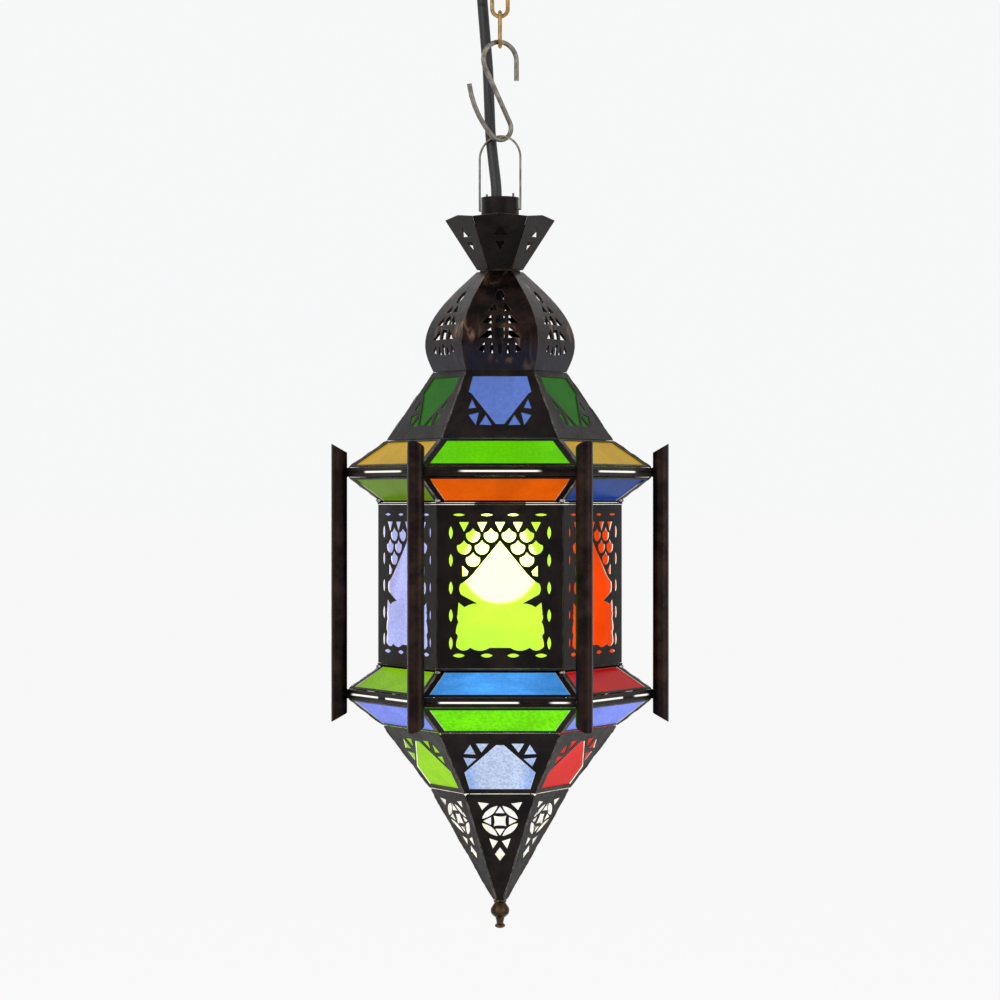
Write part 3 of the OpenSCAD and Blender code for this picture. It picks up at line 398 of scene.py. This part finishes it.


# Painted highlight: lighter upright streaks in the dome's colour, where light would glance off it.
DOME_HIGHLIGHT_COLOUR = (0.3, 0.17, 0.11)
DOME_HIGHLIGHT_WEIGHT = 0.75
DOME_HIGHLIGHT_SCALE = 120.0
DOME_HIGHLIGHT_STRETCH = (1.0, 1.0, 0.16)
PATCH_SCALE = 38.0
# Painted reflection: the roof's blue laid into the colour of the dome's foot.
DOME_REFLECTED_BLUE = (0.012, 0.018, 0.045)
DOME_REFLECTED_BLUE_WEIGHT = 0.45
FOOT_LOW_Z, FOOT_HIGH_Z = -0.416, -0.403
FOOT_SOFT = 0.012


def paint_dome_highlight_and_reflection(s):
    """Painted highlight of lighter upright streaks in patches, and a painted reflection of the
    roof's blue at the dome's foot.
    """
    colour = s.bsdf.inputs["Base Color"].links[0].from_socket
    streaks = s.noise(DOME_HIGHLIGHT_SCALE, stretch=DOME_HIGHLIGHT_STRETCH, distortion=0.5)
    patches = s.span(s.noise(PATCH_SCALE, detail=2.0, rough=0.5), 0.48, 0.66)
    # Painted highlight streaks, in patches.
    painted_highlight = s.product(s.span(streaks, 0.5, 0.68), patches, DOME_HIGHLIGHT_WEIGHT)
    # Painted reflection of the roof's blue, in a band at the foot.
    foot = s.product(s.band(FOOT_LOW_Z, FOOT_HIGH_Z, FOOT_SOFT), DOME_REFLECTED_BLUE_WEIGHT)
    colour = s.mix(painted_highlight, colour, DOME_HIGHLIGHT_COLOUR)
    s.set(Base_Color=s.mix(foot, colour, DOME_REFLECTED_BLUE))


# The worn tone of each metal lightens its edges: real wear and a painted edge highlight.
TIN = dict(dark=(0.005, 0.004, 0.004), light=(0.02, 0.014, 0.012), worn_and_highlit=(0.14, 0.085, 0.055))
METALS = {
    "zinc_plate": dict(
        dark=(0.42, 0.43, 0.44),
        light=(0.6, 0.61, 0.62),
        worn_and_highlit=(0.7, 0.7, 0.7),
        metallic=0.9,
        rough=0.38,
    ),
    "canopy_metal": dict(
        dark=(0.012, 0.011, 0.011),
        light=(0.03, 0.027, 0.026),
        worn_and_highlit=(0.15, 0.13, 0.12),
        metallic=0.3,
    ),
    "aged_brass": dict(
        dark=(0.2, 0.12, 0.035),
        light=(0.52, 0.35, 0.12),
        worn_and_highlit=(0.7, 0.52, 0.24),
        metallic=0.95,
        rough=0.32,
        grain=200.0,
    ),
    "steel_wire": dict(
        dark=(0.12, 0.105, 0.085),
        light=(0.3, 0.28, 0.24),
        worn_and_highlit=(0.5, 0.48, 0.43),
        metallic=0.9,
        grain=160.0,
    ),
    "collar_tin": dict(
        dark=(0.006, 0.005, 0.005),
        light=(0.022, 0.014, 0.013),
        worn_and_highlit=(0.14, 0.09, 0.06),
    ),
    "patina_tin": TIN,
    "copper_tin": dict(
        dark=(0.008, 0.005, 0.005),
        light=(0.032, 0.018, 0.014),
        worn_and_highlit=(0.2, 0.115, 0.075),
        metallic=0.8,
        rough=0.3,
    ),
    "dome": dict(
        dark=(0.006, 0.004, 0.004),
        light=(0.03, 0.016, 0.012),
        worn_and_highlit=(0.24, 0.13, 0.08),
        metallic=0.8,
        rough=0.3,
    ),
    "post_tin": dict(
        dark=(0.05, 0.04, 0.032),
        light=(0.16, 0.13, 0.1),
        worn_and_highlit=(0.3, 0.25, 0.2),
    ),
    "finial_metal": dict(
        dark=(0.022, 0.014, 0.009),
        light=(0.1, 0.062, 0.03),
        worn_and_highlit=(0.4, 0.27, 0.13),
        metallic=0.85,
        rough=0.34,
        grain=120.0,
    ),
    "solder": dict(
        dark=(0.03, 0.025, 0.022),
        light=(0.14, 0.125, 0.11),
        worn_and_highlit=(0.5, 0.48, 0.44),
        metallic=0.85,
        rough=0.3,
        grain=150.0,
    ),
    # A lighter copy of the solder, a painted highlight on the waist seams.
    "highlit_waist_solder": dict(
        dark=(0.1, 0.095, 0.085),
        light=(0.36, 0.34, 0.31),
        worn_and_highlit=(0.75, 0.73, 0.7),
        metallic=0.9,
        rough=0.26,
        grain=150.0,
    ),
    # Lighter still, a painted highlight on the drops at the waists.
    "highlit_drop_solder": dict(
        dark=(0.2, 0.19, 0.17),
        light=(0.5, 0.48, 0.45),
        worn_and_highlit=(0.75, 0.73, 0.7),
        metallic=0.9,
        rough=0.26,
        grain=150.0,
    ),
}
BELTS = {"upper_belt": dict(reach=0.44), "lower_belt": dict(reach=0.8, dashes=34.0)}

shaders = {name: metal(name, **tones) for name, tones in METALS.items()}
inner_light(shaders["patina_tin"])
# The dome gets painted highlight streaks and a painted blue reflection at its foot.
paint_dome_highlight_and_reflection(shaders["dome"])
for name, look in BELTS.items():
    shaders[name] = metal(name, **TIN)
    light_slit(shaders[name], name, **look)

# Plain materials and the bulb

BULB_GLOW = 7.0
BULB_GLOW_THROUGH_GLASS = 70.0
PLAIN_SHADE = 0.8
PLAIN_DEPTH = 0.0002


def plain(name, colour, rough, metallic=0.0, bump=0.1, grain=400.0, **more):
    """Plastic, rubber or smooth metal in one colour, faintly uneven."""
    s = Shader(name)
    seeds = s.noise(grain, detail=3.0)
    s.set(
        Base_Color=s.mix(s.vary(seeds, 0.0, 1.0), [c * PLAIN_SHADE for c in colour], colour),
        Metallic=metallic,
        Roughness=s.vary(seeds, rough - 0.05, rough + 0.08),
        Normal=s.bump(seeds, bump, PLAIN_DEPTH),
        **more,
    )
    return s


PLAINS = {
    "black_rubber": dict(colour=(0.018, 0.018, 0.019), rough=0.62),
    "holder_plastic": dict(colour=(0.72, 0.68, 0.58), rough=0.3, bump=0.04, Coat_Weight=0.3),
    "cap_aluminium": dict(colour=(0.6, 0.61, 0.63), rough=0.34, metallic=0.9),
    "black_flex": dict(colour=(0.011, 0.011, 0.012), rough=0.5, grain=900.0, bump=0.25),
    "bulb_glass": dict(
        colour=(0.95, 0.92, 0.82), rough=0.5, bump=0.02, Emission_Color=(1.0, 0.96, 0.84)
    ),
}
for name, look in PLAINS.items():
    shaders[name] = plain(name, **look)

bulb = shaders["bulb_glass"]
through_glass = bulb.ray("Transmission")
bulb.set(Emission_Strength=bulb.span(through_glass, 0.0, 1.0, BULB_GLOW, BULB_GLOW_THROUGH_GLASS))

# Glass

bulb_low, bulb_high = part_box("bulb_glass")
BULB = (0.0, 0.0, bulb_low.z + bulb_high.x)
PANE_GLOW = 0.74
PANE_BODY = 0.45
PANE_SPECULAR = 0.02
PANE_IOR = 1.5
PANE_BUMP, PANE_DEPTH = 0.12, 0.0003
CLOUD_SCALE = 26.0
STREAK_BUMP, STREAK_DEPTH = 0.35, 0.0005
STREAK_SCALE = 170.0
STREAK_STRETCH = (0.35, 0.35, 1.6)
MIDDLE_GLOW, CORNER_GLOW = 1.15, 0.72
COARSE, MEDIUM, FINE = 300.0, 420.0, 520.0


def glass(
    name,
    seen,
    body=None,
    grain=0.05,
    grain_scale=COARSE,
    streaks=0.0,
    border=None,
    near=0.09,
    far=0.17,
    gain=1.2,
    through=0.06,
    rough=0.2,
):
    """A lit pane of the colour it is seen in, grainy or streaked.

    It glows outwards, gain times stronger nearer to the bulb than near, falling off up to far.
    """
    s = Shader(name)
    to_bulb = s.node("VectorMath", {0: s.place(), 1: BULB}, operation="DISTANCE").outputs["Value"]
    seeds = s.noise(grain_scale, detail=3.0)
    cloud = s.noise(CLOUD_SCALE, detail=3.0, rough=0.5, distortion=0.6)
    glow = s.product(
        s.span(to_bulb, near, far, PANE_GLOW * gain, PANE_GLOW),
        s.vary(cloud, 0.84, 1.12),
        s.vary(seeds, 1.0 - grain, 1.0 + grain, reach=0.15),
    )
    normal = s.bump(seeds, PANE_BUMP + grain, PANE_DEPTH)
    light = seen
    if streaks:
        lines = s.noise(STREAK_SCALE, 3.0, 0.55, stretch=STREAK_STRETCH, distortion=0.4)
        uneven = s.vary(lines, 1.0 - streaks, 1.0 + streaks, reach=0.18)
        across = s.span(s.facet_share(), 0.15, 0.95, MIDDLE_GLOW, CORNER_GLOW)
        glow = s.product(glow, uneven, across)
        normal = s.bump(lines, STREAK_BUMP, STREAK_DEPTH, normal)
    if border:
        light = s.mix(s.span(s.facet_share(), 0.35, 0.95), light, border)
    s.set(
        Base_Color=body or tuple(PANE_BODY * c for c in seen),
        Specular_IOR_Level=PANE_SPECULAR,
        Transmission_Weight=through,
        Roughness=rough,
        IOR=PANE_IOR,
        Emission_Color=light,
        Emission_Strength=s.product(glow, s.span(s.facing(), 0.0, 0.2)),
        Normal=normal,
    )
    return s


LIME = dict(
    seen=(0.47, 0.76, 0.002),
    body=(0.38, 0.6, 0.12),
    near=0.08,
    far=0.12,
    gain=1.1,
    through=0.45,
    rough=0.1,
)
PANES = {
    "roof_glass_violet": dict(seen=(0.099, 0.166, 0.483), grain=0.1),
    "roof_glass_green": dict(seen=(0.012, 0.115, 0.004), grain=0.08),
    "eave_glass_green": dict(seen=(0.112, 0.545, 0.002), grain=0.1, grain_scale=MEDIUM),
    "eave_glass_amber": dict(seen=(0.42, 0.25, 0.001), grain=0.06),
    "skirt_glass_red": dict(seen=(0.67, 0.096, 0.002)),
    "skirt_glass_blue": dict(seen=(0.008, 0.04, 0.215)),
    "skirt_glass_olive": dict(seen=(0.1, 0.195, 0.002)),
    "panel_glass_lime": LIME,
    "panel_glass_red": dict(seen=(0.8, 0.056, 0.001)),
    "panel_glass_lavender": dict(seen=(0.405, 0.43, 0.8), grain=0.18, grain_scale=FINE),
    "flare_glass_blue": dict(
        seen=(0.062, 0.3, 0.78), grain=0.12, grain_scale=FINE, streaks=0.16
    ),
    "flare_glass_red": dict(seen=(0.39, 0.006, 0.006), grain=0.08, grain_scale=MEDIUM),
    "flare_glass_olive": dict(seen=(0.18, 0.4, 0.002), grain=0.1, grain_scale=MEDIUM),
    "lower_glass_green": dict(seen=(0.17, 0.77, 0.002), grain=0.18, grain_scale=MEDIUM),
    "lower_glass_violet": dict(seen=(0.165, 0.23, 0.83), grain=0.2, grain_scale=FINE),
    "pendant_glass_blue": dict(
        seen=(0.55, 0.66, 0.9), grain=0.26, grain_scale=FINE, border=(0.12, 0.3, 0.8)
    ),
    "pendant_glass_red": dict(seen=(0.74, 0.02, 0.015), grain=0.08, grain_scale=MEDIUM),
    "pendant_glass_lime": dict(seen=(0.3, 0.65, 0.002), grain=0.06),
    "door_glass": LIME,
}
for name, look in PANES.items():
    shaders[name] = glass(name, **look)

# Shaders on the frame's nodes: the one with the node's name, or else its record slot's

slots = {row["node"]: row["material_slot"] for row in frame["record"]["subparts"]}
for name, node in nodes.items():
    shader = shaders[name if name in shaders else slots[name]]
    node.data.materials.clear()
    node.data.materials.append(shader.material)

# Flex: one piece for each joint that it crosses

FLEX_D = 8 * MM
FLEX_ROUTE = [
    (-18, 13, -43), (-18, 13, -62), (-17, 13, -86), (-15, 12.5, -112),
    (-13, 12, -140), (-11, 11.5, -165), (-9, 11, -190), (-8, 10.5, -214),
    (-7, 9.5, -238), (-5, 5.5, -258), (-3, 1, -276), (-2.5, 0, -288),
]
FLEX_BODIES = ["ceiling", "link_upper", "link_lower", "s_hook", "bail", "lantern"]
FLEX_CURVE_STEPS = 12
FLEX_STEPS = 18
FLEX_SIDES = 20

route = spline([Vector(p) * MM for p in FLEX_ROUTE], FLEX_CURVE_STEPS)
stretches = len(FLEX_BODIES) - 1
line = resample(route, stretches * FLEX_STEPS + 1)
for i in range(stretches):
    first, last = i * FLEX_STEPS, (i + 1) * FLEX_STEPS
    part = line[first : last + 1]
    ends = [direction(line, first), direction(line, last)]
    shape = tube(part, [FLEX_D / 2] * len(part), FLEX_SIDES, ends)
    piece = mesh_object(f"flex_{i + 1}", *shape, None, "black_flex", shaders["black_flex"])
    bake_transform(piece)
    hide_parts("flex")

# Solder seams and drops

# A tier's corner radius and height in mm, where its seams start and where they end
TIERS = {
    "roof": (84.0, -465.5, 49.3, -415.3),
    "eave": (112.2, -485.3, 84.0, -465.8),
    "skirt": (87.2, -511.2, 112.2, -492.7),
    "flare": (112.2, -649.1, 87.2, -631.4),
    "lower": (87.2, -675.8, 112.2, -656.5),
    "pendant": (52.0, -722.3, 87.2, -676.1),
    "cone": (5.2, -804.9, 52.0, -722.6),
}
SNIPPED = ("pendant", "cone")
SNIP_SHARE = 0.06
# Tiers whose seams are drawn in the lighter solder, a painted highlight.
WAISTS = ("skirt", "flare")
SEAM_INSET = 0.6
SEAM_R = 0.95 * MM
SEAM_SIDES = 8
SEAM_STEP = 2.2
SEAM_MIN_STEPS = 10
SEAM_WANDER = 0.06
SEAM_SWELL = 0.2
SEAM_WAVES, SEAM_PHASE = 17, 400
SEAM_UNEVEN = 0.12
SEAM_TIP = 0.55


def corner_point(r, z, k):
    a = HALF_TURN * 2 * k
    return Vector((r * math.cos(a), r * math.sin(a), z)) * MM


def seam(start, end):
    """A solder ridge between two points, lumpy and drawn thin at its ends."""
    steps = max(SEAM_MIN_STEPS, int((end - start).length / MM / SEAM_STEP))
    points, radii = [], []
    for i in range(steps + 1):
        u = i / steps
        wander = Vector([random.gauss(0, 1) for _ in range(3)]) * SEAM_R * SEAM_WANDER
        points.append(start.lerp(end, u) + wander)
        wave = math.sin(u * SEAM_WAVES + start.x * SEAM_PHASE)
        swell = 1 - SEAM_SWELL + SEAM_SWELL * wave + random.uniform(-SEAM_UNEVEN, SEAM_UNEVEN)
        radii.append(SEAM_R * swell * (SEAM_TIP if i in (0, steps) else 1.0))
    return tube(points, radii, SEAM_SIDES)


for tier, (r0, z0, r1, z1) in TIERS.items():
    runs = []
    for k in range(SIDES):
        a = corner_point(r0 - SEAM_INSET, z0, k)
        b = corner_point(r1 - SEAM_INSET, z1, k)
        if tier in SNIPPED:
            b = b.lerp(a, SNIP_SHARE)
        runs.append(seam(a, b))
    # The waist tiers' seams take the lighter solder, a painted highlight.
    solder_shader = "highlit_waist_solder" if tier in WAISTS else "solder"
    mesh_object(f"{tier}_solder", *join(runs), "lantern", "patina_tin", shaders[solder_shader])

# Corner radius and height of the drops at each waist, in mm
DROPS = {"skirt": (89.0, -509.8), "flare": (89.0, -632.8)}
DROP_MIN_R, DROP_MAX_R = 2.1, 2.7
DROP_RINGS = 6
DROP_SIDES = 10
DROP_H_SHARE = 0.8
DROP_LOBES, DROP_LOBE_SHARE, DROP_PHASE = 3, 0.16, 90
DROP_UNEVEN = 0.05


def drop(centre):
    """A lumpy drop of solder, a little lower than it is wide."""
    radius = random.uniform(DROP_MIN_R, DROP_MAX_R) * MM
    top = Vector((0, 0, radius * DROP_H_SHARE))
    verts, faces = [centre + top], []
    for i in range(1, DROP_RINGS):
        a = math.pi * i / DROP_RINGS
        for k in range(DROP_SIDES):
            b = 2 * math.pi * k / DROP_SIDES
            lobe = DROP_LOBE_SHARE * math.sin(DROP_LOBES * b + centre.x * DROP_PHASE)
            uneven = random.uniform(-DROP_UNEVEN, DROP_UNEVEN)
            r = radius * (1 + lobe * math.sin(a) + uneven)
            way = (math.sin(a) * math.cos(b), math.sin(a) * math.sin(b), DROP_H_SHARE * math.cos(a))
            verts.append(centre + Vector(way) * r)
    verts.append(centre - top)
    last = len(verts) - 1
    for k in range(DROP_SIDES):
        n = (k + 1) % DROP_SIDES
        faces.append((0, 1 + k, 1 + n))
        for i in range(DROP_RINGS - 2):
            a, b = 1 + i * DROP_SIDES, 1 + (i + 1) * DROP_SIDES
            faces.append((a + k, b + k, b + n, a + n))
        faces.append((last, last - DROP_SIDES + n, last - DROP_SIDES + k))
    return verts, faces


# The drops take the lightest solder, a painted highlight.
for tier, (r, z) in DROPS.items():
    drops = join([drop(corner_point(r, z, k)) for k in range(SIDES)])
    mesh_object(f"{tier}_solder_drops", *drops, "lantern", "patina_tin", shaders["highlit_drop_solder"])

# Floor and light

FLOOR_Z = -2.3
FLOOR_REACH = 300.0
FLOOR_COLOUR = (0.8, 0.8, 0.79)
FLOOR_GLOW = 0.6
SKY_COLOUR = (0.93, 0.935, 0.94)
SKY_LIGHT, SKY_SEEN = 0.45, 1.0
SEEN_RAYS = ("Camera", "Glossy", "Transmission")


def backdrop(name):
    """Pale surface that shows as white wherever it is seen, and still takes shadows nearby."""
    s = Shader(name)
    s.set(
        Base_Color=FLOOR_COLOUR,
        Roughness=1.0,
        Specular_IOR_Level=0.0,
        Emission_Color=(1.0, 1.0, 1.0),
        Emission_Strength=s.product(s.ray(*SEEN_RAYS), FLOOR_GLOW),
    )
    return s


corners = [(-1, -1), (1, -1), (1, 1), (-1, 1)]
floor = mesh_object(
    "floor",
    [(x * FLOOR_REACH, y * FLOOR_REACH, FLOOR_Z) for x, y in corners],
    [(0, 1, 2, 3)],
    None,
    "zinc_plate",
    backdrop("floor"),
    smooth=False,
)

world = bpy.data.worlds.new("world")
scene.world = world
world.use_nodes = True
sky = Nodes(world.node_tree)
background = sky.tree.nodes["Background"].inputs
sky.put(background["Color"], SKY_COLOUR)
sky.put(background["Strength"], sky.span(sky.ray(*SEEN_RAYS), 0.0, 1.0, SKY_LIGHT, SKY_SEEN))

LIT_POINT = Vector((0.0, 0.0, -0.5))
LIGHTS = {
    "key": dict(place=(-1.6, -2.2, 0.9), size=1.6, power=28.0),
    "fill": dict(place=(2.2, -1.4, -0.3), size=1.8, power=14.0),
    "back": dict(place=(-0.5, 2.6, -0.4), size=1.2, power=8.0),
}


def area_light(name, place, size, power):
    light = bpy.data.lights.new(name, "AREA")
    light.size = size
    light.energy = power
    lamp = bpy.data.objects.new(name, light)
    lamp.location = place
    lamp.rotation_euler = (LIT_POINT - Vector(place)).to_track_quat("-Z", "Y").to_euler()
    collection.objects.link(lamp)


for name, values in LIGHTS.items():
    area_light(name, **values)
